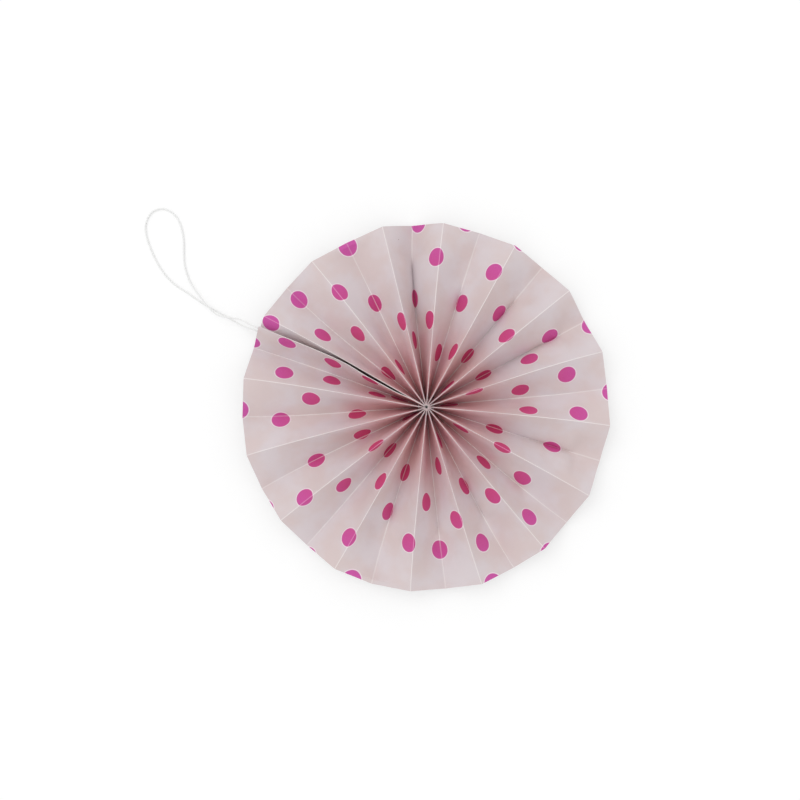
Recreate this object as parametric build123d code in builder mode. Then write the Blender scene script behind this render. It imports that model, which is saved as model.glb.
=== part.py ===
"""Paper fan rosette: a strip of patterned paper, pleated and drawn into a ring.

The strip's two ends overlap in one pleat and are held there by a strip of tape. A thread
through the inner edge of every panel draws the pleats together at the hub, and a string
loop leaves the seam at the rim.
Millimetres. The rosette lies face up, with +Z through its centre. Its back folds rest on
Z = 0, and the string lies on the same surface. Azimuths are in degrees, clockwise from +Y.
"""

import os
from math import cos, degrees, hypot, pi, radians, sin, sqrt, tan
from typing import NamedTuple

from build123d import *

# Paper and pleats
paper_thickness = 0.25
rim_radius = 100.0
hub_radius = 1.5
rim_depth = 7.5  # height of an average fold at the rim
flattest_fold = 2.5  # a pleat that is pulled wide open keeps this height
resting_radius = 30.0  # the back folds lie level from the hub out to here
pleat_count = 16
crowded_stations = 5  # stations near the hub, each twice as far out as the one before
open_stations = 5  # evenly spaced stations from there to the rim

# Each pleat as it was folded by hand, in degrees: its opening from ridge to ridge, how far
# its ridge strays by the rim, and how far its valley leans at half radius.
HAND_FOLDS = (
    (22.2, -1.1, -1.9),
    (23.9, -0.6, 0.0),
    (18.3, -0.5, -1.5),
    (24.4, 0.7, 0.0),
    (21.7, -0.1, 0.2),
    (20.6, -0.6, 0.7),
    (23.6, 1.3, 1.5),
    (23.3, 0.2, 0.7),
    (22.3, -0.1, 1.0),
    (22.5, -0.4, 0.8),
    (22.7, -0.4, -0.1),
    (23.6, -0.1, 0.6),
    (23.2, -1.2, -0.5),
    (23.3, -0.4, 0.6),
    (24.2, -0.8, -1.5),
    (20.2, -0.5, -0.1),
)
first_ridge_azimuth = 299.9

# Seam, where the last panel of the strip lies over the first
tape_thickness = 0.1
tape_clearance = 0.025  # on each side of the tape
tape_inner_radius = 38.0
tape_outer_radius = 86.0
tape_low_side = 0.05  # shares of the first panel's width, from its hidden edge
tape_high_side = 0.38
hub_slack = 0.05  # room between the packed panels, taken together
edge_step = 4.0  # the free edge falls this much further short of the ridge at the rim
edge_drop = 0.3  # the free edge lies this far below the ridges
tuck_at_hub = 0.6  # from the last valley to the hidden edge of the first panel
tuck_at_rim = 1.5

# Thread through the inner edge of every panel
thread_diameter = 0.5
thread_clearance = 0.15
thread_ring_radius = 4.0

# String loop
string_diameter = 1.2
arc_share = 0.45  # of the shorter run beside a corner
string_route = (
    (-84.0, 39.9, 11.25),
    (-90.5, 42.5, 10.35),
    (-96.5, 45.2, 9.0),
    (-101.2, 47.8, 7.6),
    (-106.2, 48.9, 6.8),
    (-110.6, 49.1, 6.2),
    (-115.2, 50.7, 5.6),
    (-120.0, 55.1, 5.0),
    (-124.3, 60.6, 3.4),
    (-128.3, 65.6, 1.7),
    (-131.2, 70.6, 0.7),
    (-133.3, 77.0, 0.6),
    (-133.9, 83.7, 0.6),
    (-133.8, 90.9, 0.6),
    (-134.7, 97.9, 0.6),
    (-137.1, 104.5, 0.6),
    (-141.8, 108.9, 0.6),
    (-147.1, 110.1, 0.6),
    (-152.3, 107.6, 0.6),
    (-155.1, 102.0, 0.6),
    (-155.1, 95.7, 0.6),
    (-152.6, 88.1, 0.6),
    (-149.0, 80.1, 0.6),
    (-144.2, 72.7, 0.6),
    (-138.7, 67.4, 0.6),
    (-131.9, 63.1, 0.6),
    (-126.4, 59.2, 0.6),
    (-120.3, 55.2, 0.6),
    (-114.7, 52.4, 0.8),
    (-109.0, 49.2, 1.5),
    (-104.9, 46.8, 3.0),
    (-100.6, 44.3, 5.2),
    (-96.0, 42.6, 7.9),
    (-91.1, 41.3, 9.4),
    (-84.6, 38.5, 9.95),
)


def place(azimuth, radius, height):
    """A point from its azimuth, its distance from the centre and its height."""
    return Vector(radius * sin(radians(azimuth)), radius * cos(radians(azimuth)), height)


def arc_angle(length, radius):
    """The angle, in degrees, that a short length takes up at a radius."""
    return degrees(length / radius)


def chord(angle, radius):
    return 2.0 * radius * sin(radians(angle) / 2.0)


# Ridges and valleys in plan. The panels are packed evenly at the hub and take their own
# openings further out, and the seam needs room for one more layer.
folds = [HAND_FOLDS[index % len(HAND_FOLDS)] for index in range(pleat_count)]
opening_total = sum(opening for opening, _, _ in folds)
seam_gap = tape_thickness + 2.0 * tape_clearance
layer_room = paper_thickness + seam_gap


def ridge_azimuth(index, radius):
    packed = hub_radius / radius
    even_share = index / pleat_count
    own_share = sum(opening for opening, _, _ in folds[:index]) / opening_total
    turn = 360.0 - arc_angle(layer_room + hub_slack, radius)
    drift = folds[index % pleat_count][1] * (radius / rim_radius) ** 3
    share = packed * even_share + (1.0 - packed) * own_share
    return first_ridge_azimuth + drift + turn * share


def valley_azimuth(index, radius):
    middle = (ridge_azimuth(index, radius) + ridge_azimuth(index + 1, radius)) / 2.0
    outward = radius / rim_radius
    lean = folds[index][2] * 4.0 * outward * (1.0 - outward)
    return middle + lean * (1.0 - hub_radius / radius)


# Ridges and valleys in height. A panel has the same width from the hub to the rim, so the
# further apart its folds stand in plan, the less it rises.
average_angle = 180.0 / pleat_count
panel_width = hypot(chord(average_angle, rim_radius), rim_depth)


def panel_rise(across, radius):
    pulled_open = flattest_fold * radius / rim_radius
    return sqrt(max(panel_width**2 - across**2, pulled_open**2))


def ridge_height(radius):
    average = panel_rise(chord(average_angle, radius), radius)
    resting = panel_rise(chord(average_angle, resting_radius), resting_radius)
    return average + max(0.0, (resting - average) / 2.0)


def valley_height(index, radius):
    half_opening = (ridge_azimuth(index + 1, radius) - ridge_azimuth(index, radius)) / 2.0
    return max(0.0, ridge_height(radius) - panel_rise(chord(half_opening, radius), radius))


def upright_thickness(across, rise):
    """The paper's thickness measured straight up through a panel of this plan and rise."""
    slant = hypot(across, rise)
    return (
        paper_thickness * slant**2
        / (paper_thickness * rise + across * sqrt(slant**2 - paper_thickness**2))
    )


class SheetPoint(NamedTuple):
    """A point on a sheet: its top and, straight below, its underside."""

    top: Vector
    under: Vector


def fold_point(azimuth, radius, top, thickness):
    """Where a fold or a cut edge passes one station."""
    return SheetPoint(place(azimuth, radius, top), place(azimuth, radius, top - thickness))


def strip_at(radius):
    """The fold points of the whole strip at one station, from one cut end to the other."""
    outward = radius / rim_radius
    ridge_top = ridge_height(radius)
    ridges = [ridge_azimuth(index, radius) for index in range(pleat_count)]
    valleys = [valley_azimuth(index, radius) for index in range(pleat_count)]
    valley_unders = [valley_height(index, radius) for index in range(pleat_count)]
    seam_ridge = ridges[0] + 360.0

    # Last panel: from the last valley up to the free edge, short of the first ridge
    edge_gap = layer_room + edge_step * outward**2
    free_edge = seam_ridge - arc_angle(edge_gap, radius)
    last_across = chord(free_edge - valleys[-1], radius)
    last_rise = ridge_top - edge_drop - valley_unders[-1]
    last_thickness = upright_thickness(last_across, last_rise)

    # First panel: from the first ridge down to the hidden edge, behind the last panel
    tuck = tuck_at_hub + (tuck_at_rim - tuck_at_hub) * outward
    tuck = min(tuck, last_across + seam_gap)
    hidden_edge = valleys[-1] + arc_angle(tuck, radius)
    first_across = chord(seam_ridge - hidden_edge, radius)
    first_thickness = upright_thickness(first_across, ridge_top - valley_unders[-1])
    last_slope = (last_rise - last_thickness) / last_across
    last_under = valley_unders[-1] + last_slope * min(tuck, last_across)
    hidden_top = max(first_thickness, last_under - seam_gap * hypot(1.0, last_slope))

    thicknesses = [first_thickness]
    for index, valley in enumerate(valleys):
        for ridge in ridges[index : index + 2]:
            rise = ridge_top - valley_unders[index]
            thicknesses.append(upright_thickness(chord(abs(valley - ridge), radius), rise))
    thicknesses.append(last_thickness)

    # A fold shares the mean thickness of the two panels that meet there
    shared = [(one + other) / 2.0 for one, other in zip(thicknesses, thicknesses[1:])]
    strip = [fold_point(hidden_edge - 360.0, radius, hidden_top, first_thickness)]
    for index in range(pleat_count):
        ridge_thickness, valley_thickness = shared[2 * index : 2 * index + 2]
        valley_top = valley_unders[index] + valley_thickness
        strip.append(fold_point(ridges[index], radius, ridge_top, ridge_thickness))
        strip.append(fold_point(valleys[index], radius, valley_top, valley_thickness))
    strip.append(fold_point(free_edge, radius, ridge_top - edge_drop, last_thickness))
    return strip


# Stations along the folds, closer together at the hub, where the panels crowd together
crowded_radii = [hub_radius * 2.0**step for step in range(crowded_stations)]
open_step = (rim_radius - crowded_radii[-1]) / open_stations
open_radii = [crowded_radii[-1] + open_step * (step + 1) for step in range(open_stations)]
radii = crowded_radii + open_radii
fold_lines = list(zip(*[strip_at(radius) for radius in radii]))


def ruled_faces(points_a, points_b):
    """Ruled faces between two lines that pass the same stations."""
    faces = []
    for start in range(len(points_a) - 1):
        edge_a = Edge.make_line(points_a[start], points_a[start + 1])
        edge_b = Edge.make_line(points_b[start], points_b[start + 1])
        faces.append(Face.make_surface_from_curves(edge_a, edge_b))
    return faces


def sheet_solid(lines):
    """A thin solid from its fold lines: ruled faces above and below, and four cut sides."""
    tops = [[point.top for point in line] for line in lines]
    unders = [[point.under for point in line] for line in lines]
    faces = ruled_faces(tops[0], unders[0]) + ruled_faces(tops[-1], unders[-1])
    for side in range(len(lines) - 1):
        faces += ruled_faces(tops[side], tops[side + 1])
        faces += ruled_faces(unders[side], unders[side + 1])
        for end in (0, -1):
            corners = (tops[side][end], unders[side][end])
            corners += (unders[side + 1][end], tops[side + 1][end])
            faces.append(Face(Wire.make_polygon(corners, close=True)))
    return Solid(Shell(faces))


# Pleated paper: one folded sheet, with a hole in every panel for the thread
thread_height = ridge_height(thread_ring_radius) / 2.0
with BuildPart() as pleated_paper:
    add(sheet_solid(fold_lines))
    with Locations((0.0, 0.0, thread_height)):
        Torus(thread_ring_radius, thread_diameter / 2.0 + thread_clearance, mode=Mode.SUBTRACT)

# Seam tape: lies on the first panel, under the last
def line_top(line, radius):
    """The paper's top where a fold line passes a radius, at or between two stations."""
    inner = max(station for station, passed in enumerate(radii[:-1]) if passed <= radius)
    share = (radius - radii[inner]) / (radii[inner + 1] - radii[inner])
    start, end = line[inner].top, line[inner + 1].top
    return start + (end - start) * share


def tape_point(share, radius):
    """A point of the tape, this share of the way from the hidden edge to the first ridge."""
    start, end = [line_top(line, radius) for line in fold_lines[:2]]
    across = hypot(end.X - start.X, end.Y - start.Y)
    upright = Vector(0.0, 0.0, hypot(1.0, (end.Z - start.Z) / across))
    under = start + (end - start) * share + upright * tape_clearance
    return SheetPoint(under + upright * tape_thickness, under)


tape_radii = [radius for radius in radii if tape_inner_radius < radius < tape_outer_radius]
tape_radii = [tape_inner_radius, *tape_radii, tape_outer_radius]
tape_sides = [
    [tape_point(share, radius) for radius in tape_radii]
    for share in (tape_low_side, tape_high_side)
]


with BuildPart() as seam_tape:
    add(sheet_solid(tape_sides))

# Centre tie: a ring of thread that passes through every panel
with BuildPart() as centre_tie:
    with Locations((0.0, 0.0, thread_height)):
        Torus(thread_ring_radius, thread_diameter / 2.0)

# Hanging loop: both ends of the string are held in the seam
corners = [Vector(*point) for point in string_route]
runs = [end - start for start, end in zip(corners, corners[1:])]
turns = [before.get_angle(after) for before, after in zip(runs, runs[1:])]
bend_radii = [
    arc_share * min(before.length, after.length) / tan(radians(turn) / 2.0)
    for before, after, turn in zip(runs, runs[1:], turns)
]
with BuildPart() as hanging_loop:
    with BuildLine() as string_path:
        FilletPolyline(*string_route, radius=bend_radii)
    with BuildSketch(Plane(origin=string_path.line @ 0, z_dir=string_path.line % 0)):
        Circle(string_diameter / 2.0)
    sweep()

string_length = string_path.wire().length
string_section = pi * string_diameter**2 / 4.0
print("string bends, smallest and largest radius:", min(bend_radii), max(bend_radii))
print("string length:", string_length, "sharpest turn:", max(turns))
print("string volume over section times length:",
      hanging_loop.part.volume / (string_section * string_length))
print("panel width:", panel_width, "sheet volume:", pleated_paper.part.volume)

os.makedirs("parts", exist_ok=True)
for name, builder in (
    ("pleated_paper", pleated_paper),
    ("seam_tape", seam_tape),
    ("centre_tie", centre_tie),
    ("hanging_loop", hanging_loop),
):
    builder.part.label = name
    export_step(builder.part, f"parts/{name}.step")
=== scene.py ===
# %% [markdown]
# # A pleated paper rosette
# The rosette is one long strip of spotted paper. It is folded to and fro like a fan, its
# two ends are taped together, and a thread through the inner edge draws the folds into a
# hub. A loop of twisted string comes out of the taped seam. The construction comes in as a
# fixed frame, and this file gives it its looks: the folded sheet, the string, the paper
# and the light.

from math import hypot, pi, radians, sin, sqrt

import bpy
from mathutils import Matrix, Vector


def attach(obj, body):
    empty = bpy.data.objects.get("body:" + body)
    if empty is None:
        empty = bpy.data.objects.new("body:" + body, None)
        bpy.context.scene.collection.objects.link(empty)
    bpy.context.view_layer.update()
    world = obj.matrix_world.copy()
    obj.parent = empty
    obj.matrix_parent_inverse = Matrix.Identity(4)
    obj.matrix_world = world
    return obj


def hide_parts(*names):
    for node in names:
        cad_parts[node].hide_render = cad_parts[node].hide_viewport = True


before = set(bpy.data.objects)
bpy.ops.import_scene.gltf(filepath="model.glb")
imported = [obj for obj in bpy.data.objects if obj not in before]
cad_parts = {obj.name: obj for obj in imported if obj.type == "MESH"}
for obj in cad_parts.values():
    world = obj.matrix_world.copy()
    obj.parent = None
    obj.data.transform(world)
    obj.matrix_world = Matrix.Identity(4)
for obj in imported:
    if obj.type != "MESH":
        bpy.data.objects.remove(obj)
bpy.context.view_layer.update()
MM = 0.001  # one millimetre in Blender's metres

# %% [markdown]
# ## The camera
# The rosette lies on a table and is photographed from straight above. A camera that looks
# down needs no turn at all, so only its place and its lens matter. The distance sets how
# much larger the high ridges look than the low valleys, and the lens then follows from the
# width of table that the picture takes in.

# %% Place the camera
CAMERA_PLACE = (-14.1 * MM, 3.7 * MM, 544.2 * MM)
RIM_RIDGE_HEIGHT = 14.2 * MM
PICTURE_WIDTH = 432.2 * MM  # what the picture takes in at the height of the rim's ridges
SENSOR_WIDTH = 36.0


def add_object(name, data):
    """A new object in the scene."""
    made = bpy.data.objects.new(name, data)
    bpy.context.scene.collection.objects.link(made)
    return made


camera_data = bpy.data.cameras.new("camera")
camera_data.sensor_width = SENSOR_WIDTH
camera_data.lens = SENSOR_WIDTH * (CAMERA_PLACE[2] - RIM_RIDGE_HEIGHT) / PICTURE_WIDTH
camera = add_object("camera", camera_data)
camera.location = CAMERA_PLACE
bpy.context.scene.camera = camera
print("lens, mm:", round(camera_data.lens, 1))

# %% [markdown]
# ## Node maths that reads like a formula
# Both the shape of the sheet and its print follow rules, and in Blender a rule is a chain
# of Math nodes. Wiring dozens of them by hand hides the formula. This small class wraps
# one output socket and adds a node for each sign, so `a * b + c` builds two nodes. It
# works in Geometry Nodes and in material trees alike.


# %% A field class for node maths
def plug(tree, value, socket):
    """Joins a field to a socket, or sets a plain value on it."""
    if isinstance(value, Field):
        tree.links.new(value.socket, socket)
    else:
        socket.default_value = value


class Field:
    """The value at one output socket of a node tree."""

    def __init__(self, tree, socket):
        self.tree = tree
        self.socket = socket

    def maths(self, operation, *values):
        node = self.tree.nodes.new("ShaderNodeMath")
        node.operation = operation
        for place, value in enumerate(values):
            plug(self.tree, value, node.inputs[place])
        return Field(self.tree, node.outputs[0])

    def __add__(self, other):
        return self.maths("ADD", self, other)

    def __radd__(self, other):
        return self.maths("ADD", other, self)

    def __sub__(self, other):
        return self.maths("SUBTRACT", self, other)

    def __rsub__(self, other):
        return self.maths("SUBTRACT", other, self)

    def __mul__(self, other):
        return self.maths("MULTIPLY", self, other)

    def __rmul__(self, other):
        return self.maths("MULTIPLY", other, self)

    def __truediv__(self, other):
        return self.maths("DIVIDE", self, other)

    def __pow__(self, power):
        return self.maths("POWER", self, power)

    def floor(self):
        return self.maths("FLOOR", self)

    def size(self):
        return self.maths("ABSOLUTE", self)

    def root(self):
        return self.maths("SQRT", self)

    def sine(self):
        return self.maths("SINE", self)

    def cosine(self):
        return self.maths("COSINE", self)

    def above(self, other):
        return self.maths("GREATER_THAN", self, other)

    def at_least(self, other):
        return self.maths("MAXIMUM", self, other)

    def at_most(self, other):
        return self.maths("MINIMUM", self, other)

    def step(self, start, end):
        """0 before start and 1 after end, with a smooth rise between them."""
        node = self.tree.nodes.new("ShaderNodeMapRange")
        node.interpolation_type = "SMOOTHSTEP"
        for name, value in (("Value", self), ("From Min", start), ("From Max", end)):
            plug(self.tree, value, node.inputs[name])
        return Field(self.tree, node.outputs["Result"])

    def fade(self, start, end):
        """1 before start and 0 after end, with a smooth fall between them."""
        return 1.0 - self.step(start, end)


def add_node(tree, kind, inputs=(), **settings):
    """A new node with its settings, and with fields or values on its inputs. An input goes
    by its name, or by its place where several have one name."""
    node = tree.nodes.new(kind)
    for name, value in settings.items():
        setattr(node, name, value)
    for name, value in dict(inputs).items():
        plug(tree, value, node.inputs[name])
    return node


def field_of(tree, output, kind, inputs=(), **settings):
    """The field at one output of a new node."""
    return Field(tree, add_node(tree, kind, inputs, **settings).outputs[output])


def vector_maths(tree, operation, inputs, output="Vector"):
    """What a vector maths node makes of its inputs."""
    return field_of(tree, output, "ShaderNodeVectorMath", inputs, operation=operation)


def split_vector(tree, vector):
    """The first two numbers of a vector."""
    node = add_node(tree, "ShaderNodeSeparateXYZ", {"Vector": vector})
    return Field(tree, node.outputs["X"]), Field(tree, node.outputs["Y"])


def noise(tree, vector, scale, detail=2.0, roughness=0.5):
    """A noise from 0 to 1 at a place given by a vector."""
    inputs = {"Vector": vector, "Scale": scale, "Detail": detail, "Roughness": roughness}
    return field_of(tree, "Fac", "ShaderNodeTexNoise", inputs)


# A Mix node has its two inputs and its result once for each kind of data, so they go by place
VECTOR_ONE, VECTOR_OTHER, VECTOR_RESULT = 4, 5, 1
COLOUR_ONE, COLOUR_OTHER, COLOUR_RESULT = 6, 7, 2
FULL_HUMP = 4.0  # share * (1 - share), times this, rises from 0 to 1 half way and falls to 0

print("field maths ready")

# %% [markdown]
# ## The sizes of the fold
# The strip has 16 pleats. Its two ends overlap in one more panel, so it has 33 panels in
# all, each as wide as the next. Each pleat was creased by hand, so it opens a little more
# or less than its neighbour and its valley leans to one side. The sizes are those of the
# construction, so that the sheet made here lies where the solid one lies. Only what the
# hand did to each pleat is told more finely here, which moves a fold by about three
# millimetres at most.

# %% Fold sizes in millimetres and degrees
PAPER_THICKNESS = 0.25
RIM_RADIUS = 100.0
HUB_RADIUS = 1.5
RIM_DEPTH = 7.5
FLATTEST_FOLD = 2.5
RESTING_RADIUS = 30.0
PLEATS = 16
PANELS = 2 * PLEATS + 1
FIRST_RIDGE = 299.9  # its azimuth, clockwise from the top of the picture

# For each pleat: how wide it opens, how far its ridge strays by the rim and how far its
# valley leans, in degrees; how much its panels bow, below 0 for hollow and above 0 for
# crowned; how far its ridge and its valley reach past the rim's circle, in millimetres;
# and how far out its valley stays pinched before it springs open in a kink
PLEAT_SHAPES = (
    (22.6, -0.7, -1.9, 0.0, 0.5, 0.0, 30.0),
    (23.9, -0.6, 0.0, -0.4, 0.0, -1.1, 42.0),
    (18.3, 0.0, -1.5, 1.2, 0.3, 0.3, 84.0),
    (24.4, 0.7, 0.0, 0.0, -0.2, -1.0, 72.0),
    (21.7, -0.1, 0.2, 0.5, -0.4, -0.5, 80.0),
    (20.6, 0.2, 0.7, 0.8, -0.3, -0.9, 87.0),
    (23.6, 1.3, 1.5, -0.2, -0.1, -0.5, 52.0),
    (23.3, 0.9, 0.7, 0.7, 0.0, -0.2, 87.0),
    (22.3, 0.4, 1.0, -0.3, 0.4, 0.3, 73.0),
    (22.5, -0.4, 0.8, 0.2, 0.0, 0.5, 71.0),
    (22.7, -0.4, -0.1, -0.3, 0.5, 0.3, 73.0),
    (23.6, -0.8, 0.6, -0.3, 0.1, 0.5, 70.0),
    (23.2, 0.2, -0.5, -0.1, 0.6, -0.1, 53.0),
    (23.3, -0.4, 0.6, -0.3, -0.3, 0.2, 38.0),
    (24.2, -0.8, -1.5, -0.2, 0.5, -0.2, 38.0),
    (19.8, -0.9, -0.1, 0.0, -0.1, 0.2, 60.0),
)

SEAM_GAP = 0.15  # the tape and its clearances
LAYER_ROOM = PAPER_THICKNESS + SEAM_GAP
HUB_SLACK = 0.05
EDGE_STEP = 4.0  # how far the free edge stops short of the first ridge, by the rim
SLIT_WIDENING = 0.9  # how much further back it stands near the hub
SLIT_STARTS = (8.0, 20.0)  # the distances from the hub between which that comes
SLIT_ENDS = (34.0, 50.0)  # and those between which it goes
RIM_WIDENING = 1.7  # how much further back it stands by the rim
RIM_WIDENS = (47.0, 92.0)
EDGE_DROP = 0.3  # how much lower it lies than the first ridge
TUCK_AT_HUB = 0.6  # how far the hidden edge stops short of the last valley
TUCK_AT_RIM = 1.5
HIDDEN_EDGE_RISE = 0.3  # how far that edge is lifted for each millimetre of its tuck


def chord(angle, radius):
    """The straight way across an angle. The radius may be a number or a field."""
    return 2.0 * radius * sin(angle / 2.0)


HALF_PLEAT = pi / PLEATS
PANEL_WIDTH = hypot(chord(HALF_PLEAT, RIM_RADIUS), RIM_DEPTH)
RESTING_RISE = sqrt(PANEL_WIDTH**2 - chord(HALF_PLEAT, RESTING_RADIUS) ** 2)
print("panel width, mm:", round(PANEL_WIDTH, 2), "strip, mm:", round(PANEL_WIDTH * PANELS))

# %% [markdown]
# ## The flat strip
# A maker starts from a flat strip, and so does this file. The strip is a grid: one row of
# points for each distance from the hub, and columns that crowd together at the creases,
# where the paper bends sharply. Flat millimetres are kept on the mesh as an attribute
# later on, because the print was put on the paper before it was folded.

# %% Make the flat strip
CREASE_COLUMNS = (0.0, 0.009, 0.02, 0.04, 0.08, 0.15, 0.25, 0.37)  # shares of a panel's width
ROWS = 68
HUB_CROWDING = 1.6  # rows stand closer together near the hub
NOSE_RADIUS = 0.7  # how close to the centre the inner ends of the folds come


def panel_columns():
    """Shares of one panel's width where a column stands, crowded at both creases."""
    near = list(CREASE_COLUMNS)
    far = [1.0 - share for share in reversed(CREASE_COLUMNS[1:])]
    return near + [0.5] + far


def strip_columns():
    """Places along the strip in panels: the first ridge is at 0, the hidden end at -1."""
    shares = panel_columns()
    places = [panel - 1 + share for panel in range(PANELS) for share in shares]
    return places + [PANELS - 1.0]


def strip_rows():
    """Distances from the centre, in millimetres. The creases' noses meet at the hub."""
    depth = RIM_RADIUS - NOSE_RADIUS
    return [NOSE_RADIUS + depth * (row / (ROWS - 1)) ** HUB_CROWDING for row in range(ROWS)]


def strip_point(across, up):
    """A point of the flat strip in metres, from panels along it and millimetres up it."""
    return (across * PANEL_WIDTH * MM, up * MM, 0.0)


def grid_mesh(name, columns, rows):
    """A flat grid on the strip with its face up."""
    points = [strip_point(column, row) for column in columns for row in rows]
    count = len(rows)
    faces = [
        (across * count + up, (across + 1) * count + up,
         (across + 1) * count + up + 1, across * count + up + 1)
        for across in range(len(columns) - 1)
        for up in range(count - 1)
    ]
    mesh = bpy.data.meshes.new(name)
    mesh.from_pydata(points, [], faces)
    return mesh


strip_mesh = grid_mesh("paper_sheet", strip_columns(), strip_rows())
paper_sheet = add_object("paper_sheet", strip_mesh)
print("flat strip faces:", len(strip_mesh.polygons))

# %% [markdown]
# ## Two small tables for the tree
# The folding tree needs the numbers of each pleat, and the print needs the place of each
# spot. A Geometry Nodes tree can read both from a mesh that has points only: one point for
# each ridge, with the pleat's numbers as attributes, and one point for each spot, at its
# place on the flat strip. The spots are scattered, not set in rows, so their places are a
# list: panels along the strip, and millimetres from the hub.

# %% Make the fold table and the spot table
SPOTS = (
    (0.53, 68.5), (1.0, 91), (1.1, 27.5), (1.58, 54.5), (2.07, 77.5), (2.44, 26),
    (2.97, 64), (2.99, 98), (3.8, 48), (4.6, 37), (5.0, 60), (5.2, 101), (5.77, 47),
    (5.9, 81.2), (6.6, 103.8), (6.75, 30.7), (7.2, 60.5), (7.72, 33.2), (7.8, 82),
    (8.1, 104), (8.79, 65.5), (8.97, 36.5), (9.6, 16), (9.81, 58), (10.84, 79),
    (11.0, 36.5), (11.18, 102), (11.4, 62.6), (12.1, 27), (12.41, 79), (12.68, 53),
    (13.1, 102.3), (13.1, 13), (13.67, 55.6), (13.72, 83), (15.03, 73), (15.06, 40),
    (16.0, 46), (16.38, 22), (16.67, 65.7), (17.32, 44), (17.66, 82), (17.95, 103.3),
    (18.23, 60), (19.17, 48.5), (19.5, 19.5), (19.5, 80), (19.7, 102), (20.2, 63),
    (20.55, 33), (21.04, 79), (21.5, 52), (22.17, 74), (22.98, 38), (23.19, 61),
    (23.5, 101.6), (24.12, 81.5), (24.23, 47), (24.8, 104.3), (24.95, 31), (25.5, 62),
    (26.05, 34), (26.1, 82), (26.5, 104.3), (26.8, 10), (26.98, 67), (27.17, 38),
    (28.84, 38), (28.87, 80), (29.18, 102), (29.59, 63), (30.43, 79.5), (30.6, 27.5),
    (30.9, 15), (30.63, 53.5), (31.24, 102), (31.74, 82.7), (31.6, 56), (31.75, 33.5),
    (-0.1, 95),
)


def table_object(name, points, columns=()):
    """Loose points, each with a value for every named column."""
    mesh = bpy.data.meshes.new(name)
    mesh.from_pydata(points, [], [])
    for column, values in dict(columns).items():
        attribute = mesh.attributes.new(column, "FLOAT", "POINT")
        attribute.data.foreach_set("value", values)
    return add_object(name, mesh)


openings = [shape[0] for shape in PLEAT_SHAPES]
turned = [sum(openings[:ridge]) / sum(openings) for ridge in range(PLEATS + 1)]
wrapped = PLEAT_SHAPES + PLEAT_SHAPES[:1]
fold_table = table_object(
    "fold_table",
    [(ridge, 0.0, 0.0) for ridge in range(PLEATS + 1)],
    {
        "turned": turned,
        "drift": [radians(shape[1]) for shape in wrapped],
        "lean": [radians(shape[2]) for shape in wrapped],
        "crown": [shape[3] for shape in wrapped],
        "ridge reach": [shape[4] * MM for shape in wrapped],
        "valley reach": [shape[5] * MM for shape in wrapped],
        "kink": [shape[6] * MM for shape in wrapped],
    },
)
spot_table = table_object("spot_table", [strip_point(across, up) for across, up in SPOTS])
print("ridges in the table:", len(turned), "spots:", len(SPOTS))

# %% [markdown]
# ## The folding tree
# A pleated ring follows a rule. Every panel keeps its width from the hub to the rim, so
# where the folds stand close together at the hub the panels stand upright, and further
# out they lie down. For each point of the strip the tree finds the ridge and the valley of
# its panel, works out where both pass this distance from the hub, and puts the point
# between them. The alternative, modelling one pleat and repeating it in a circle, would
# make 16 equal pleats, and this rosette has none that are equal.

# %% Inputs and helpers of the folding tree
fold_tree = bpy.data.node_groups.new("fold_strip_into_rosette", "GeometryNodeTree")
INPUT_SIZES = {
    "Rim Radius": RIM_RADIUS * MM,
    "Hub Radius": HUB_RADIUS * MM,
    "Panel Width": PANEL_WIDTH * MM,
    "Flattest Fold": FLATTEST_FOLD * MM,
    "Resting Rise": RESTING_RISE * MM,
    "Paper Thickness": PAPER_THICKNESS * MM,
    "Layer Room": LAYER_ROOM * MM,
    "Crease Rounding": 0.25 * MM,
    "Panel Bow": 0.03,
    "Hub Hollow": 0.034,
    "Seam Hollow": 0.06,
    "Slit Dip": 0.8,
    "Valley Pinch": 0.4,
    "Kink Flare": 0.4,
    "Crease Spring": 0.35,
    "Paper Waves": 0.25 * MM,
    "First Ridge": radians(FIRST_RIDGE),
}


def add_inputs(tree, sizes, objects):
    """Named inputs for a tree, and what came of them as fields by name."""
    tree.interface.new_socket("Geometry", in_out="INPUT", socket_type="NodeSocketGeometry")
    for name in objects:
        tree.interface.new_socket(name, in_out="INPUT", socket_type="NodeSocketObject")
    for name in sizes:
        tree.interface.new_socket(name, in_out="INPUT", socket_type="NodeSocketFloat")
    tree.interface.new_socket("Geometry", in_out="OUTPUT", socket_type="NodeSocketGeometry")
    group_input = tree.nodes.new("NodeGroupInput")
    return {name: Field(tree, group_input.outputs[name]) for name in ("Geometry", *objects, *sizes)}


def table_value(tree, table, column, index):
    """The number that a table's point holds in a column."""
    named = field_of(
        tree, "Attribute", "GeometryNodeInputNamedAttribute", {"Name": column}, data_type="FLOAT"
    )
    inputs = {"Geometry": table, "Value": named, "Index": index}
    return field_of(
        tree, "Value", "GeometryNodeSampleIndex", inputs, data_type="FLOAT", clamp=True
    )


given = add_inputs(fold_tree, INPUT_SIZES, ("Fold Table", "Spot Table"))
folds, spots = [
    field_of(fold_tree, "Geometry", "GeometryNodeObjectInfo", {"Object": given[name]})
    for name in ("Fold Table", "Spot Table")
]
print("folding tree inputs:", len(given))

# %% [markdown]
# Before anything is folded, the tree notes on the mesh where each point lies on the flat
# strip and which spot is nearest to each face. The material draws the spots from these
# two notes. They are round on the flat paper, with a slightly ragged edge that stays sharp
# from close by, and they bend with the paper.

# %% Note the flat places and the nearest spots
position = field_of(fold_tree, "Position", "GeometryNodeInputPosition")
strip_place, radius = split_vector(fold_tree, position)


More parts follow.
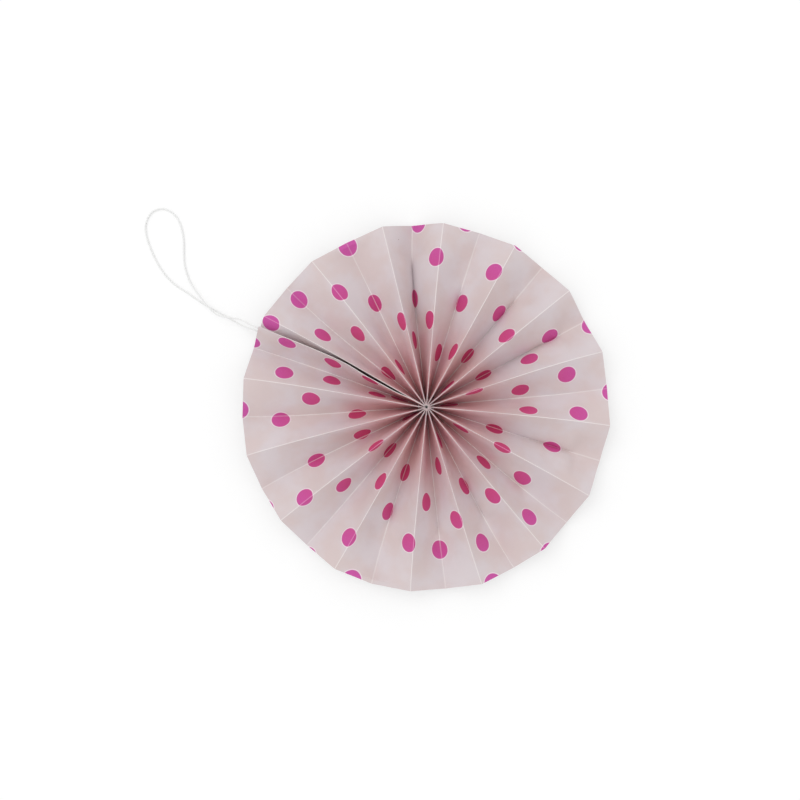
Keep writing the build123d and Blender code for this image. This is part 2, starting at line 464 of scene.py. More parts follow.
def store_vector(geometry, name, domain, value):
    """Keeps a vector on the mesh under a name, in millimetres."""
    in_mm = vector_maths(fold_tree, "SCALE", {0: value, "Scale": 1.0 / MM})
    return field_of(
        fold_tree, "Geometry", "GeometryNodeStoreNamedAttribute",
        {"Geometry": geometry, "Name": name, "Value": in_mm},
        data_type="FLOAT_VECTOR", domain=domain,
    )


nearest = field_of(
    fold_tree, "Index", "GeometryNodeSampleNearest", {"Geometry": spots}, domain="POINT"
)
spot_centre = field_of(
    fold_tree, "Value", "GeometryNodeSampleIndex",
    {"Geometry": spots, "Value": position, "Index": nearest}, data_type="FLOAT_VECTOR",
)
noted = store_vector(given["Geometry"], "strip_place", "POINT", position)
noted = store_vector(noted, "spot_centre", "FACE", spot_centre)
print("flat places noted")

# %% [markdown]
# The plan of the folds comes next. Packed at the hub, the ridges stand evenly round the
# circle. Further out each takes up the opening of its own pleat. The last panel ends in a
# free edge that stops just short of the first ridge, and the first panel's hidden edge
# tucks in behind it.

# %% Plan: where each fold passes a radius
radius_mm = radius / MM
outward = radius / given["Rim Radius"]
packed = (given["Hub Radius"] / radius).at_most(1.0)
place = strip_place / given["Panel Width"]
ridge_index = (place / 2.0 + 0.5).floor()
valley_index = (place / 2.0).floor().at_most(PLEATS - 1)
from_ridge = (place - ridge_index * 2.0).size()
hidden_panel = (0.0 - place).above(0.0)
free_panel = place.above(PANELS - 2.0)
hidden_valley = valley_index + hidden_panel * PLEATS
seam_room = given["Layer Room"] + HUB_SLACK * MM
whole_turn = 2.0 * pi - seam_room / radius.at_least(given["Hub Radius"])


def ridge_azimuth(index):
    """Where a ridge passes: evenly spaced where packed, and further out by its own pleat."""
    own_share = table_value(fold_tree, folds, "turned", index)
    drift = table_value(fold_tree, folds, "drift", index) * outward**3.0
    share = packed * index / PLEATS + (1.0 - packed) * own_share
    return given["First Ridge"] + drift + whole_turn * share


lean = table_value(fold_tree, folds, "lean", hidden_valley)
lean = lean * FULL_HUMP * outward * (1.0 - outward) * (1.0 - packed)
before, after = ridge_azimuth(hidden_valley), ridge_azimuth(hidden_valley + 1.0)
valley_azimuth = (before + after) / 2.0 + lean
half_opening = (after - before) / 2.0
stands_off = radius_mm.step(*SLIT_STARTS) * radius_mm.fade(*SLIT_ENDS) * SLIT_WIDENING
stands_off = stands_off + radius_mm.step(*RIM_WIDENS) * RIM_WIDENING
edge_back = (EDGE_STEP * outward**2.0 + stands_off - HUB_SLACK) * MM
free_edge = ridge_azimuth(ridge_index) - free_panel * edge_back / radius
tuck = (TUCK_AT_HUB + (TUCK_AT_RIM - TUCK_AT_HUB) * outward) * MM
low_azimuth = valley_azimuth + hidden_panel * (tuck / radius - 2.0 * pi)
print("plan nodes:", len(fold_tree.nodes))

# %% [markdown]
# Then the heights. A panel is the long side of a right triangle: the further apart its
# folds stand in plan, the less it rises. Measured straight up, the paper is thicker where
# it stands steep, so the valleys fill up a little towards the hub.


# %% Section: how high each fold passes
def chord_field(angle):
    """The straight way across an angle that is a field."""
    return 2.0 * radius * (angle / 2.0).sine()


def panel_rise(across):
    """How high a panel rises whose folds stand this far apart in plan."""
    flattest = given["Flattest Fold"] * outward
    return (given["Panel Width"] ** 2.0 - across**2.0).at_least(flattest**2.0).root()


average_rise = panel_rise(chord(HALF_PLEAT, radius))
ridge_top = average_rise + ((given["Resting Rise"] - average_rise) / 2.0).at_least(0.0)
across = chord_field(half_opening)
valley_under = (ridge_top - panel_rise(across)).at_least(0.0)
rise = ridge_top - valley_under
slant = across**2.0 + rise**2.0
thickness = given["Paper Thickness"]
upright = thickness * slant / (thickness * rise + across * (slant - thickness**2.0).root())
valley_top = valley_under + upright + hidden_panel * tuck * HIDDEN_EDGE_RISE
high_top = ridge_top - free_panel * EDGE_DROP * MM
print("section nodes:", len(fold_tree.nodes))

# %% [markdown]
# A panel isn't a flat board. Its creases are rounded by the paper's thickness, they spring
# open a little, and the panel bows: hollow near the hub, where the valleys are round
# troughs, and further out hollow or crowned as the hand left it. Each valley stays pinched
# up to a kink, and behind the kink it springs open. Paper doesn't stretch, so what a bow
# takes from the height it gives to the plan. A spot near a round valley bottom is
# therefore seen wide, and one on a steep wall is seen as a sliver.


# %% Profile of a panel between its folds
def rounded(share, rounding):
    """A share that starts level, as a crease does, and then rises evenly."""
    return (share**2.0 + rounding**2.0).root() - rounding


CREASES_MEET = (0.3, 0.7)  # where one crease's rounding gives way to the other's
TROUGH_ENDS = (38.0, 62.0)  # millimetres from the hub where the round troughs run out
SPRING_ENDS = (25.0, 75.0)  # where the creases no longer spring open
FLAT_SEAM = (82.0, 92.0)  # where the seam's panels lie flat again, over the string
DIP_ENDS = (46.0, 68.0)  # where the hidden panel's steep start beside the free edge ends
PINCH_STARTS = (0.0, 20.0)
KINK_LENGTH = 5.0
FLARE_LENGTH = 22.0  # of the flatter stretch behind a kink
STEEPEST_BEND = 0.55

rounding = given["Crease Rounding"] / given["Panel Width"]
from_valley = 1.0 - from_ridge
middle = from_ridge.step(*CREASES_MEET)
slope_down = rounded(from_ridge, rounding)
slope_up = 1.0 - rounded(from_valley, rounding)
fallen = slope_down + (slope_up - slope_down) * middle
seam_panel = hidden_panel.at_least(free_panel)
crown = table_value(fold_tree, folds, "crown", hidden_valley)
bow = given["Panel Bow"] * crown
bow = bow - (bow + given["Hub Hollow"]) * radius_mm.fade(*TROUGH_ENDS)
seam_hollow = given["Seam Hollow"] * radius_mm.fade(*FLAT_SEAM)
bow = bow - (bow + seam_hollow) * seam_panel
steepness = rise / across
bend = (bow * FULL_HUMP * steepness).at_most(STEEPEST_BEND).at_least(-STEEPEST_BEND)
spring = given["Crease Spring"] * radius_mm.fade(*SPRING_ENDS)
swing = (from_ridge * 2.0 * pi).sine() / (2.0 * pi)
kink = table_value(fold_tree, folds, "kink", hidden_valley)
beyond_kink = radius.step(kink - KINK_LENGTH * MM, kink)
settled = radius.step(kink, kink + FLARE_LENGTH * MM)
pinch = given["Valley Pinch"] * (1.0 - beyond_kink) * radius_mm.step(*PINCH_STARTS)
flare = given["Kink Flare"] * beyond_kink * (1.0 - settled)
# A power draws the top of a hump to one side: the dip to the ridge, the pinch to the valley
slit = hidden_panel * given["Slit Dip"] * radius_mm.fade(*DIP_ENDS)
dip = slit * from_ridge * from_valley**2.0
pinch = (pinch - flare) * from_ridge**3.0 * from_valley
shift = (bend * from_ridge * from_valley + spring * swing - dip + pinch) * (1.0 - packed)
plan_share = from_ridge + shift
fallen = fallen - shift / steepness**2.0


def polar_point(azimuth, height, reach):
    """A point of a fold. Its azimuth runs clockwise from the top of the picture."""
    distance = radius + reach * outward**2.0
    parts = {"X": distance * azimuth.sine(), "Y": distance * azimuth.cosine(), "Z": height}
    return field_of(fold_tree, "Vector", "ShaderNodeCombineXYZ", parts)


height = high_top + (valley_top - high_top) * fallen
ridge_reach = table_value(fold_tree, folds, "ridge reach", ridge_index)
valley_reach = table_value(fold_tree, folds, "valley reach", hidden_valley)
ridge_and_valley = {
    "Factor": plan_share,
    VECTOR_ONE: polar_point(free_edge, height, ridge_reach),
    VECTOR_OTHER: polar_point(low_azimuth, height, valley_reach),
}
folded = field_of(
    fold_tree, VECTOR_RESULT, "ShaderNodeMix", ridge_and_valley, data_type="VECTOR"
)
print("profile nodes:", len(fold_tree.nodes))

# %% [markdown]
# Thin paper also waves a little where nothing holds it. A slow noise on the flat strip
# moves the middle of each panel by a fraction of a millimetre and leaves the creases and
# the hub where they are.

# %% Waves, and the end of the tree
WAVE_SEED = 4.0
WAVE_SCALE = 42.0  # about as many waves in a metre
noise_place = vector_maths(fold_tree, "ADD", {0: position, 1: (0.0, 0.0, WAVE_SEED)})
slow_noise = noise(fold_tree, noise_place, WAVE_SCALE, detail=1.0)
wave = (slow_noise - 0.5) * 2.0 * given["Paper Waves"]
wave = wave * FULL_HUMP * from_ridge * from_valley * (1.0 - packed)
lift = field_of(fold_tree, "Vector", "ShaderNodeCombineXYZ", {"Z": wave})
folded_strip = field_of(
    fold_tree, "Geometry", "GeometryNodeSetPosition",
    {"Geometry": noted, "Position": folded, "Offset": lift},
)


def finish_tree(tree, geometry, material):
    """Realize Instances, Set Material and the output."""
    real = field_of(tree, "Geometry", "GeometryNodeRealizeInstances", {"Geometry": geometry})
    finished = field_of(
        tree, "Geometry", "GeometryNodeSetMaterial", {"Geometry": real, "Material": material}
    )
    add_node(tree, "NodeGroupOutput", {"Geometry": finished})


print("folding tree nodes:", len(fold_tree.nodes))

# %% [markdown]
# ## Paper
# The paper is matt and uncoated, a pale greyish pink with magenta spots on its face. Ink
# cracks along a sharp fold and the white core of the sheet shows there, so each ridge is a
# fine white line, also across a spot. In the valleys the crease is only a faint paler
# line. Light that goes to and fro between the pleats, and through the thin sheet, turns
# warmer and redder towards the hub, and it keeps the valleys from going as dark as those
# of a board would. A renderer finds only part of that, so the rest is painted into the
# paper's and the ink's colours: a painted warm shade that deepens towards the hub, a
# painted glow in the valleys and painted shade on the ridges at middle distances, and a
# painted shadow in the slit behind the first ridge. Round each spot the print leaves a
# thin paler ring.


# %% Helpers for materials
def new_material(name):
    """A new material, its node tree and its Principled shader."""
    material = bpy.data.materials.new(name)
    material.use_nodes = True
    return material, material.node_tree, material.node_tree.nodes["Principled BSDF"]


def set_shader(tree, shader, values):
    """Joins fields to a shader's named sockets, or sets plain values on them."""
    for name, value in values.items():
        plug(tree, value, shader.inputs[name])


def rgb(red, green, blue):
    """A colour from the 0 to 255 numbers of a colour picker, made linear."""
    linear = []
    for level in (red, green, blue):
        share = level / 255.0
        linear.append(share / 12.92 if share <= 0.04045 else ((share + 0.055) / 1.055) ** 2.4)
    return (*linear, 1.0)


def mixed(tree, share, one, other, blend="MIX"):
    """One colour where share is 0 and, where it is 1, the other or the two multiplied."""
    inputs = {"Factor": share, COLOUR_ONE: one, COLOUR_OTHER: other}
    return field_of(
        tree, COLOUR_RESULT, "ShaderNodeMix", inputs, data_type="RGBA", blend_type=blend
    )


def bump(tree, shader, height, distance, strength, under=None):
    """Raises a surface by a height field, on top of an earlier bump if there is one."""
    inputs = {"Height": height, "Distance": distance, "Strength": strength}
    if under is not None:
        inputs["Normal"] = under
    raised = field_of(tree, "Normal", "ShaderNodeBump", inputs)
    plug(tree, raised, shader.inputs["Normal"])
    return raised


print("material helpers ready")

# %% Printed face of the paper
PAPER_PINK = rgb(226, 216, 219)
PAPER_WARM = rgb(223, 207, 206)
SPOT_INK = rgb(208, 88, 170)
SPOT_INK_DRY = rgb(212, 100, 178)
PAPER_CORE = rgb(255, 251, 249)
CRACKED_INK = rgb(238, 168, 208)
HALO_PALE = rgb(246, 232, 238)
SPECK_BROWN = rgb(150, 120, 104)
PAPER_GLOW = rgb(250, 214, 210)
PAPER_PASSES = 0.1  # the share of the light that goes through

# Painted light and shade that multiply a colour, and the distances over which they come
# and go, in millimetres from the hub where nothing else is said
# Painted warm shade of the deep folds near the hub, on the paper and on the ink
PAPER_PAINTED_SHADE = (1.08, 0.68, 0.7, 1.0)  # what deep folds do to the paper's colour
INK_PAINTED_SHADE = (1.03, 0.6, 0.46, 1.0)
PAPER_SHADE_ENDS = (0.0, 62.0)
INK_SHADE_ENDS = (34.0, 108.0)
# Painted shadow on the hidden panel, in the slit behind the first ridge
SLIT_SHADE = (0.3, 0.25, 0.25, 1.0)
SLIT_SHADE_STARTS = (0.5, 1.4)  # behind the first ridge
SLIT_SHADE_ENDS = (44.0, 62.0)
# Painted glow in the valleys and painted shade on the ridges, at middle distances from the hub
VALLEY_GLOW = (1.06, 1.07, 1.07, 1.0)
RIDGE_SHADE = (0.96, 0.94, 0.945, 1.0)
SHADE_TO_GLOW = (2.0, 17.0)  # from a ridge
GLOW_STARTS = (12.0, 40.0)
GLOW_ENDS = (58.0, 95.0)
MOTTLE_RANGE = (0.35, 0.65)  # the part of a noise that is spread from 0 to 1
INK_DRY_RANGE = (0.35, 0.8)

# Spots and flecks, in millimetres
SPOT_RADIUS = 5.0
SPOT_RAGGED = 0.1
INK_EDGE = 0.12
HALO_WIDTH = 0.55
HALO_AT_HUB = 0.3
HALO_GAIN = 0.006  # for each millimetre from the hub
SPECKS = ((4.47, 92.5, 0.32), (0.8, 51.0, 0.25))  # panels along, from the hub, and radius
SPECK_CORE = 0.6  # the share of its radius where it is full
SPECK_STRENGTH = 0.8

# Pale lines on the creases: widths to one side and distances from the hub in millimetres
RIDGE_WIDTH = 0.22
RIDGE_WIDTH_GAIN = 0.18
RIDGE_WIDENS = (6.0, 24.0)
RIDGE_TAPER = 0.0016  # what the width loses with each millimetre
RIDGE_FADE = 0.004  # and what the line's strength loses
RIDGE_CORE = 0.75  # the share of the width where the line is full
RIDGE_CRACKS = 0.15
VALLEY_WIDTH = 0.45
VALLEY_WIDTH_GAIN = 0.5
VALLEY_NARROWS = (20.0, 50.0)
VALLEY_CORE = 0.35
VALLEY_CRACKS = 0.3
VALLEY_PALENESS = 0.66
VALLEY_FADE = 0.34
VALLEY_FADES = (55.0, 88.0)
VALLEY_SPOT_FADE = 0.16  # how much less of the line shows across a spot


def vector_attribute(tree, name):
    """A vector that the folding tree noted on the mesh."""
    return field_of(tree, "Vector", "ShaderNodeAttribute", attribute_name=name)


def spot_field(tree, size=SPOT_RADIUS):
    """1 inside a printed spot and 0 outside it."""
    here = vector_attribute(tree, "strip_place")
    centre = vector_attribute(tree, "spot_centre")
    away = vector_maths(tree, "DISTANCE", {0: here, 1: centre}, "Value")
    ragged = noise(tree, here, scale=2.5) * (2.0 * SPOT_RAGGED) - SPOT_RAGGED
    return (away + ragged).fade(size - INK_EDGE, size + INK_EDGE)


def speck_field(tree, panels, from_hub_mm, size):
    """1 inside a fleck of dirt at one place of the strip."""
    here = vector_attribute(tree, "strip_place")
    centre = (panels * PANEL_WIDTH, from_hub_mm, 0.0)
    away = vector_maths(tree, "DISTANCE", {0: here, 1: centre}, "Value")
    return away.fade(size * SPECK_CORE, size)


def crease_line(away, width, core):
    """1 on a crease and 0 where the width of its line ends."""
    return away.fade(width * core, width)


def crease_distances(tree):
    """Millimetres from the nearest ridge, the nearest valley, the hub and the first ridge."""
    along, from_hub = split_vector(tree, vector_attribute(tree, "strip_place"))
    panels = along / PANEL_WIDTH
    ridge = (panels / 2.0 + 0.5).floor() * 2.0
    share = (panels - ridge).size()
    return share * PANEL_WIDTH, (1.0 - share) * PANEL_WIDTH, from_hub, along


def paper_bump(tree, shader):
    """Fine fibres and a slight cockle, as uncoated paper has."""
    flat_place = vector_attribute(tree, "strip_place")
    fibres = noise(tree, flat_place, scale=3.0, detail=4.0, roughness=0.7)
    fine = bump(tree, shader, fibres, distance=0.03 * MM, strength=0.5)
    cockle = noise(tree, flat_place, scale=0.12)
    bump(tree, shader, cockle, distance=0.6 * MM, strength=0.5, under=fine)


def let_light_through(tree, shader):
    """Thin paper passes some light on, warmer than it sends back."""
    glow = field_of(tree, 0, "ShaderNodeBsdfTranslucent", {"Color": PAPER_GLOW})
    shaders = {"Fac": PAPER_PASSES, 1: Field(tree, shader.outputs[0]), 2: glow}
    both = field_of(tree, 0, "ShaderNodeMixShader", shaders)
    plug(tree, both, tree.nodes["Material Output"].inputs["Surface"])


printed_paper, tree, shader = new_material("printed_paper")
flat_place = vector_attribute(tree, "strip_place")
to_ridge, to_valley, from_hub, along = crease_distances(tree)
spot = spot_field(tree)
mottle = noise(tree, flat_place, scale=0.05, detail=3.0).step(*MOTTLE_RANGE)
paper_colour = mixed(tree, mottle, PAPER_PINK, PAPER_WARM)
ink_grain = noise(tree, flat_place, scale=1.2, detail=4.0, roughness=0.7)
ink_colour = mixed(tree, ink_grain.step(*INK_DRY_RANGE), SPOT_INK, SPOT_INK_DRY)
# Painted warm shade: the paper and the ink turn darker and redder towards the hub
paper_shade_share = from_hub.fade(*PAPER_SHADE_ENDS)
ink_shade_share = from_hub.fade(*INK_SHADE_ENDS)
paper_colour = mixed(tree, paper_shade_share, paper_colour, PAPER_PAINTED_SHADE, "MULTIPLY")
ink_colour = mixed(tree, ink_shade_share, ink_colour, INK_PAINTED_SHADE, "MULTIPLY")
# Painted glow in the valleys and painted shade on the ridges, at middle distances from the hub
glow_band = from_hub.step(*GLOW_STARTS) * from_hub.fade(*GLOW_ENDS)
glow_colour = mixed(tree, to_ridge.step(*SHADE_TO_GLOW), RIDGE_SHADE, VALLEY_GLOW)
paper_colour = mixed(tree, glow_band, paper_colour, glow_colour, "MULTIPLY")
# Painted shadow on the hidden panel, in the slit behind the first ridge
in_slit = (0.0 - along).step(*SLIT_SHADE_STARTS) * from_hub.fade(*SLIT_SHADE_ENDS)
paper_colour = mixed(tree, in_slit, paper_colour, SLIT_SHADE, "MULTIPLY")
halo = spot_field(tree, SPOT_RADIUS + HALO_WIDTH) * (HALO_AT_HUB + from_hub * HALO_GAIN)
paper_colour = mixed(tree, halo, paper_colour, HALO_PALE)
for speck_place in SPECKS:
    speck = speck_field(tree, *speck_place) * SPECK_STRENGTH
    paper_colour = mixed(tree, speck, paper_colour, SPECK_BROWN)
face_colour = mixed(tree, spot, paper_colour, ink_colour)
cracks = noise(tree, flat_place, scale=0.9, detail=3.0, roughness=0.7) - 0.5
widening = from_hub.step(*RIDGE_WIDENS) * RIDGE_WIDTH_GAIN
ridge_width = RIDGE_WIDTH + widening - from_hub * RIDGE_TAPER
ridge_line = crease_line(to_ridge + cracks * RIDGE_CRACKS, ridge_width, RIDGE_CORE)
ridge_line = ridge_line * (1.0 - from_hub * RIDGE_FADE)
line_colour = mixed(tree, spot, PAPER_CORE, CRACKED_INK)
face_colour = mixed(tree, ridge_line, face_colour, line_colour)
valley_width = VALLEY_WIDTH + from_hub.fade(*VALLEY_NARROWS) * VALLEY_WIDTH_GAIN
valley_line = crease_line(to_valley + cracks * VALLEY_CRACKS, valley_width, VALLEY_CORE)
paleness = VALLEY_PALENESS - from_hub.step(*VALLEY_FADES) * VALLEY_FADE
paleness = paleness - spot * VALLEY_SPOT_FADE
face_colour = mixed(tree, valley_line * paleness, face_colour, PAPER_CORE)
set_shader(
    tree, shader, {"Base Color": face_colour, "Roughness": 0.78, "Specular IOR Level": 0.25}
)
paper_bump(tree, shader)
let_light_through(tree, shader)
print("printed paper nodes:", len(tree.nodes))

# %% [markdown]
# The back of the sheet is unprinted. Held against the light it would show the spots of the
# face very faintly, and so does the render. The cut edge is bare paper core.

# %% Plain back and cut edge
PAPER_BACK = rgb(232, 224, 222)
SHOWN_THROUGH = rgb(228, 206, 216)
SHOWS_THROUGH = 0.6

plain_back, tree, shader = new_material("plain_paper_back")
back_mottle = noise(tree, vector_attribute(tree, "strip_place"), scale=0.08, detail=3.0)
back_colour = mixed(tree, back_mottle, PAPER_BACK, PAPER_PINK)
back_colour = mixed(tree, spot_field(tree) * SHOWS_THROUGH, back_colour, SHOWN_THROUGH)
set_shader(
    tree, shader, {"Base Color": back_colour, "Roughness": 0.8, "Specular IOR Level": 0.25}
)
paper_bump(tree, shader)
let_light_through(tree, shader)

cut_edge, tree, shader = new_material("cut_paper_edge")
edge_grain = noise(tree, vector_attribute(tree, "strip_place"), scale=2.0, detail=3.0)
edge_colour = mixed(tree, edge_grain, PAPER_CORE, PAPER_BACK)
set_shader(tree, shader, {"Base Color": edge_colour, "Roughness": 0.85})
print("back and edge ready")

# %% Fold the sheet
SHARP_ANGLE = radians(35.0)
finish_tree(fold_tree, folded_strip, printed_paper)


def set_inputs(modifier, values):
    """Sets a modifier's named inputs by the identifier of each socket."""
    for item in modifier.node_group.interface.items_tree:
        if item.in_out == "INPUT" and item.name in values:
            modifier[item.identifier] = values[item.name]


def plain_mesh(made):
    """The object's evaluated mesh takes the place of its modifiers."""
    bpy.context.view_layer.update()
    graph = bpy.context.evaluated_depsgraph_get()
    mesh = bpy.data.meshes.new_from_object(
        made.evaluated_get(graph), preserve_all_data_layers=True, depsgraph=graph
    )
    made.modifiers.clear()
    made.data = mesh
    mesh.name = made.name


def add_tree(made, name, tree, values):
    """A tree as a modifier, with its inputs."""
    modifier = made.modifiers.new(name, "NODES")
    modifier.node_group = tree
    set_inputs(modifier, values)


def add_wall(made, thickness, offset):
    """A thickness in millimetres, below the surface for offset -1 and above it for 1."""
    wall = made.modifiers.new("thickness", "SOLIDIFY")
    wall.thickness = thickness * MM
    wall.offset = offset
    return wall


def shade_by_angle(made):
    """Smooth where the surface curves, sharp at cut edges."""
    made.data.shade_smooth()
    made.data.set_sharp_from_angle(angle=SHARP_ANGLE)


for material in (printed_paper, plain_back, cut_edge):
    strip_mesh.materials.append(material)
fold_inputs = {**INPUT_SIZES, "Fold Table": fold_table, "Spot Table": spot_table}
add_tree(paper_sheet, "folding", fold_tree, fold_inputs)
wall = add_wall(paper_sheet, PAPER_THICKNESS, -1.0)
wall.material_offset = 1
wall.material_offset_rim = 2
plain_mesh(paper_sheet)
shade_by_angle(paper_sheet)
print("sheet faces:", len(paper_sheet.data.polygons),
      "materials:", [slot.name for slot in paper_sheet.data.materials])
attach(paper_sheet, "root")
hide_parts("pleated_paper")

# %% [markdown]
# ## The tape in the seam
# A strip of double-sided tape holds the last panel down on the first. It lies between
# them and follows their bow, so the same tree folds it: a small flat grid at its place on
# the strip, lifted off the paper by its clearance and given its own thickness.

# %% Fold the tape
TAPE_THICKNESS = 0.1
TAPE_CLEARANCE = 0.025
TAPE_SIDES = (-0.95, -0.62)  # in panels along the strip
TAPE_ENDS = (38.0, 86.0)  # in millimetres from the hub
TAPE_COLUMNS = 6
TAPE_ROWS = 24


def spread(start, end, count):
    """Evenly spaced numbers from start to end."""
    return [start + (end - start) * step / (count - 1) for step in range(count)]


tape_mesh = grid_mesh(
    "tape_strip", spread(*TAPE_SIDES, TAPE_COLUMNS), spread(*TAPE_ENDS, TAPE_ROWS)
)
tape_strip = add_object("tape_strip", tape_mesh)
add_tree(tape_strip, "folding", fold_tree, fold_inputs)
clearance = tape_strip.modifiers.new("clearance", "DISPLACE")
clearance.strength = TAPE_CLEARANCE * MM
clearance.mid_level = 0.0
add_wall(tape_strip, TAPE_THICKNESS, 1.0)
plain_mesh(tape_strip)
shade_by_angle(tape_strip)
for table in (fold_table, spot_table):
    bpy.data.objects.remove(table)
print("tape faces:", len(tape_strip.data.polygons))
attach(tape_strip, "root")
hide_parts("seam_tape")

# %% [markdown]
# ## The string
# The loop is a limp cotton string of two plies. Both of its ends come out of the seam, it
# runs side by side with itself for a while and then opens into an eye. Its middle line is
# one smooth NURBS curve, whose control points are the route that the construction gives.
# The plies wind round that line, so a tree makes them: it moves a copy of the line off
# centre by a turning vector and gives each copy a round section.

# %% Route of the string
STRING_ROUTE = (
    (-84.0, 39.9, 11.25), (-90.5, 42.5, 10.35), (-96.5, 45.2, 9.0), (-101.2, 47.8, 7.6),
    (-106.2, 48.9, 6.8), (-110.6, 49.1, 6.2), (-115.2, 50.7, 5.6), (-120.0, 55.1, 5.0),
    (-124.3, 60.6, 3.4), (-128.3, 65.6, 1.7), (-131.2, 70.6, 0.7), (-133.3, 77.0, 0.6),
    (-133.9, 83.7, 0.6), (-133.8, 90.9, 0.6), (-134.7, 97.9, 0.6), (-137.1, 104.5, 0.6),
    (-141.8, 108.9, 0.6), (-147.1, 110.1, 0.6), (-152.3, 107.6, 0.6), (-155.1, 102.0, 0.6),
    (-155.1, 95.7, 0.6), (-152.6, 88.1, 0.6), (-149.0, 80.1, 0.6), (-144.2, 72.7, 0.6),
    (-138.7, 67.4, 0.6), (-131.9, 63.1, 0.6), (-126.4, 59.2, 0.6), (-120.3, 55.2, 0.6),
    (-114.7, 52.4, 0.8), (-109.0, 49.2, 1.5), (-104.9, 46.8, 3.0), (-100.6, 44.3, 5.2),
    (-96.0, 42.6, 7.9), (-91.1, 41.3, 9.4), (-84.6, 38.5, 9.95),
)

route_curve = bpy.data.curves.new("string_route", "CURVE")
route_curve.dimensions = "3D"
route = route_curve.splines.new("NURBS")
route.points.add(len(STRING_ROUTE) - 1)
for point, place_mm in zip(route.points, STRING_ROUTE):
    point.co = (*[coordinate * MM for coordinate in place_mm], 1.0)
route.order_u = 3
route.use_endpoint_u = True
route.resolution_u = 12
string_route = add_object("string_route", route_curve)
bpy.context.view_layer.update()
route_line = bpy.data.meshes.new_from_object(
    string_route.evaluated_get(bpy.context.evaluated_depsgraph_get())
)
string_path = [vertex.co.copy() for vertex in route_line.vertices]
string_length = sum(
    (end - start).length for start, end in zip(string_path, string_path[1:])
)
print("string length, mm:", round(string_length / MM, 1), "points:", len(string_path))

# %% Wind two plies round the route
string_tree = bpy.data.node_groups.new("wind_plies", "GeometryNodeTree")
STRING_SIZES = {
    "Ply Radius": 0.30 * MM,
    "Ply Offset": 0.28 * MM,
    "Twist Length": 3.2 * MM,
    "Point Spacing": 0.28 * MM,
}
PLIES = 2
wound = add_inputs(string_tree, STRING_SIZES, ())


line = field_of(string_tree, "Curve", "GeometryNodeMeshToCurve", {"Mesh": wound["Geometry"]})
resampled = field_of(
    string_tree, "Curve", "GeometryNodeResampleCurve",
    {"Curve": line, "Length": wound["Point Spacing"]}, mode="LENGTH",
)
tangent = field_of(string_tree, "Tangent", "GeometryNodeInputTangent")
normal = field_of(string_tree, "Normal", "GeometryNodeInputNormal")
side = vector_maths(string_tree, "CROSS_PRODUCT", {0: tangent, 1: normal})
run_length = field_of(string_tree, "Length", "GeometryNodeSplineParameter")
section = field_of(
    string_tree, "Curve", "GeometryNodeCurvePrimitiveCircle",
    {"Resolution": 8, "Radius": wound["Ply Radius"]}, mode="RADIUS",
)
join = string_tree.nodes.new("GeometryNodeJoinGeometry")
for ply in range(PLIES):
    turn = run_length / wound["Twist Length"] * 2.0 * pi + 2.0 * pi * ply / PLIES
    outward_part, sideways_part = [
        vector_maths(string_tree, "SCALE", {0: way, "Scale": share * wound["Ply Offset"]})
        for way, share in ((normal, turn.cosine()), (side, turn.sine()))
    ]
    offset = vector_maths(string_tree, "ADD", {0: outward_part, 1: sideways_part})
    moved = field_of(
        string_tree, "Geometry", "GeometryNodeSetPosition",
        {"Geometry": resampled, "Offset": offset},
    )
    tube = field_of(
        string_tree, "Mesh", "GeometryNodeCurveToMesh",
        {"Curve": moved, "Profile Curve": section, "Fill Caps": True},
    )
    plug(string_tree, tube, join.inputs["Geometry"])
print("string tree nodes:", len(string_tree.nodes))

# %% Cotton of the string and the thread
STRING_WHITE = rgb(250, 250, 250)
STRING_GREY = rgb(244, 244, 243)

cotton, tree, shader = new_material("white_cotton")
coordinates = field_of(tree, "Object", "ShaderNodeTexCoord")
lint = noise(tree, coordinates, scale=2600.0, detail=4.0, roughness=0.7)
cotton_colour = mixed(tree, lint, STRING_GREY, STRING_WHITE)
set_shader(tree, shader, {"Base Color": cotton_colour, "Roughness": 0.9, "Sheen Weight": 0.3})
bump(tree, shader, lint, distance=0.08 * MM, strength=0.5)
finish_tree(string_tree, Field(string_tree, join.outputs["Geometry"]), cotton)

string_loop = add_object("string_loop", route_line)
string_loop.data.materials.append(cotton)
add_tree(string_loop, "winding", string_tree, STRING_SIZES)
plain_mesh(string_loop)
string_loop.data.shade_smooth()
bpy.data.objects.remove(string_route)
print("string faces:", len(string_loop.data.polygons))
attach(string_loop, "root")
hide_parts("hanging_loop")

# %% [markdown]
# ## The tie at the hub
# The ring of thread at the hub keeps the construction's own shape, because it is right.
# It only needs a finish, and that is the same cotton.

# %% Finish the tie and the tape
TAPE_MILK = rgb(236, 232, 222)
TAPE_AGED = rgb(228, 220, 204)

tape_film, tree, shader = new_material("tape_film")
coordinates = field_of(tree, "Object", "ShaderNodeTexCoord")
tape_cloud = noise(tree, coordinates, scale=120.0, detail=3.0)
tape_colour = mixed(tree, tape_cloud, TAPE_MILK, TAPE_AGED)
set_shader(tree, shader, {"Base Color": tape_colour, "Roughness": 0.38})
bump(tree, shader, tape_cloud, distance=0.05 * MM, strength=0.4)

for piece, material in ((tape_strip, tape_film), (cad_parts["centre_tie"], cotton)):
    piece.data.materials.clear()
    piece.data.materials.append(material)
    print(piece.name, "finished with", material.name)

# %% [markdown]
# ## Table and light
# The rosette lies on a plain white table under soft light from all round, a little
# stronger from the upper left. A wide dome of light gives the soft shade in the pleats,
# and one large, distant lamp gives them a direction. The world's light is set so that a
# colour renders about as it is written, and the camera itself sees white.

# %% Lay the floor
FLOOR_REACH = 6.0  # metres to each side
FLOOR_CORNERS = ((-1, -1), (1, -1), (1, 1), (-1, 1))
FLOOR_GLOW = 0.5  # how much of its white the camera sees whatever falls on it
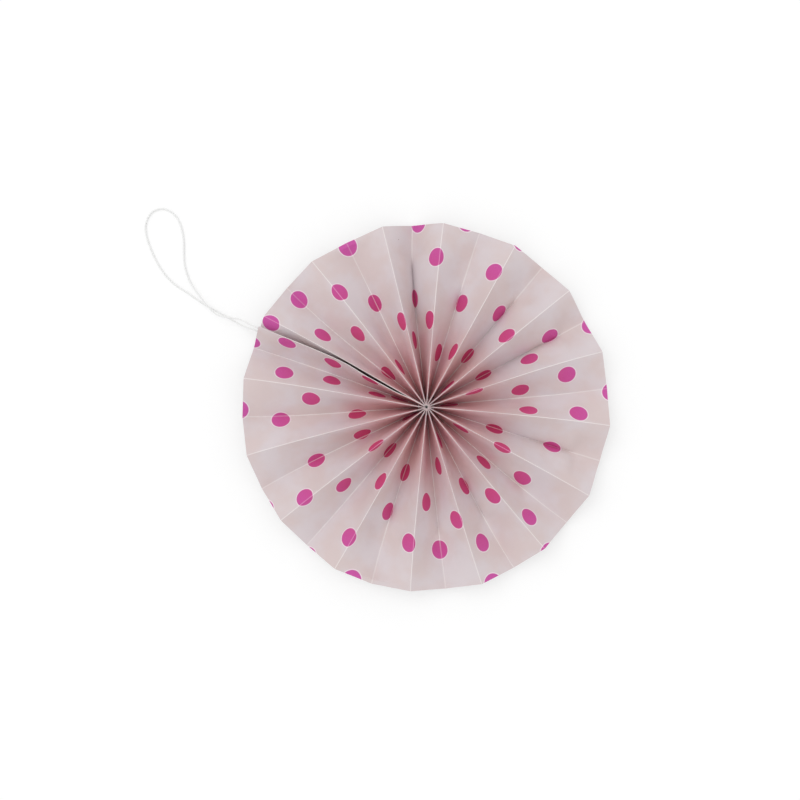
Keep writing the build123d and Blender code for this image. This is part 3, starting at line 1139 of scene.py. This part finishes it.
# Within these radii the floor gets no white glow, which paints shade under the rosette
FLOOR_SHADE_RADII = (70.0 * MM, 96.0 * MM)  # the rosette covers it, and no white glows there
FLOOR_SEEN = (0.52, 0.52, 0.52, 1.0)
FLOOR_BOUNCE = (0.72, 0.72, 0.72, 1.0)
WHITE = (1.0, 1.0, 1.0, 1.0)


def seen_directly(tree):
    """1 for what the camera sees, straight or by way of gloss or glass, never for the
    light that seeps through paper."""
    path = tree.nodes.new("ShaderNodeLightPath")
    camera_ray, glossy, passing, diffuse = [
        Field(tree, path.outputs[name])
        for name in ("Is Camera Ray", "Is Glossy Ray", "Is Transmission Ray", "Is Diffuse Ray")
    ]
    return camera_ray.at_least(glossy).at_least(passing) * (1.0 - diffuse)


floor_mesh = bpy.data.meshes.new("floor")
corners = [(x * FLOOR_REACH, y * FLOOR_REACH, 0.0) for x, y in FLOOR_CORNERS]
floor_mesh.from_pydata(corners, [], [(0, 1, 2, 3)])
floor = add_object("floor", floor_mesh)
white_table, tree, shader = new_material("white_table")
seen = seen_directly(tree)
floor_colour = mixed(tree, seen, FLOOR_BOUNCE, FLOOR_SEEN)
table_point = field_of(tree, "Object", "ShaderNodeTexCoord")
# No glow near the centre: painted shade on the floor under the rosette
floor_beyond_shade = vector_maths(tree, "LENGTH", {0: table_point}, "Value").step(*FLOOR_SHADE_RADII)
set_shader(tree, shader, {
    "Base Color": floor_colour,
    "Emission Strength": seen * floor_beyond_shade * FLOOR_GLOW,
    "Emission Color": WHITE,
    "Roughness": 1.0,
    "Specular IOR Level": 0.0,
})
floor_mesh.materials.append(white_table)
print("floor laid, metres across:", 2.0 * FLOOR_REACH)

# %% Light the world and hang one lamp
DOME_LEVEL = 0.86
LAMP_STRENGTH = 0.5
LAMP_SPREAD = radians(40.0)
LAMP_FROM = (-0.5, 0.45, 1.0)  # upper left of the picture

world = bpy.data.worlds.new("studio")
bpy.context.scene.world = world
world.use_nodes = True
tree = world.node_tree
level = DOME_LEVEL + seen_directly(tree) * (1.0 - DOME_LEVEL)
set_shader(tree, tree.nodes["Background"], {"Strength": level, "Color": WHITE})

lamp_data = bpy.data.lights.new("window", "SUN")
lamp_data.energy = LAMP_STRENGTH
lamp_data.angle = LAMP_SPREAD
lamp = add_object("window", lamp_data)
lamp.rotation_mode = "QUATERNION"
lamp.rotation_quaternion = Vector(LAMP_FROM).to_track_quat("Z", "Y")
bpy.context.scene.view_settings.view_transform = "Standard"
print("lamp strength:", LAMP_STRENGTH, "dome level:", DOME_LEVEL)
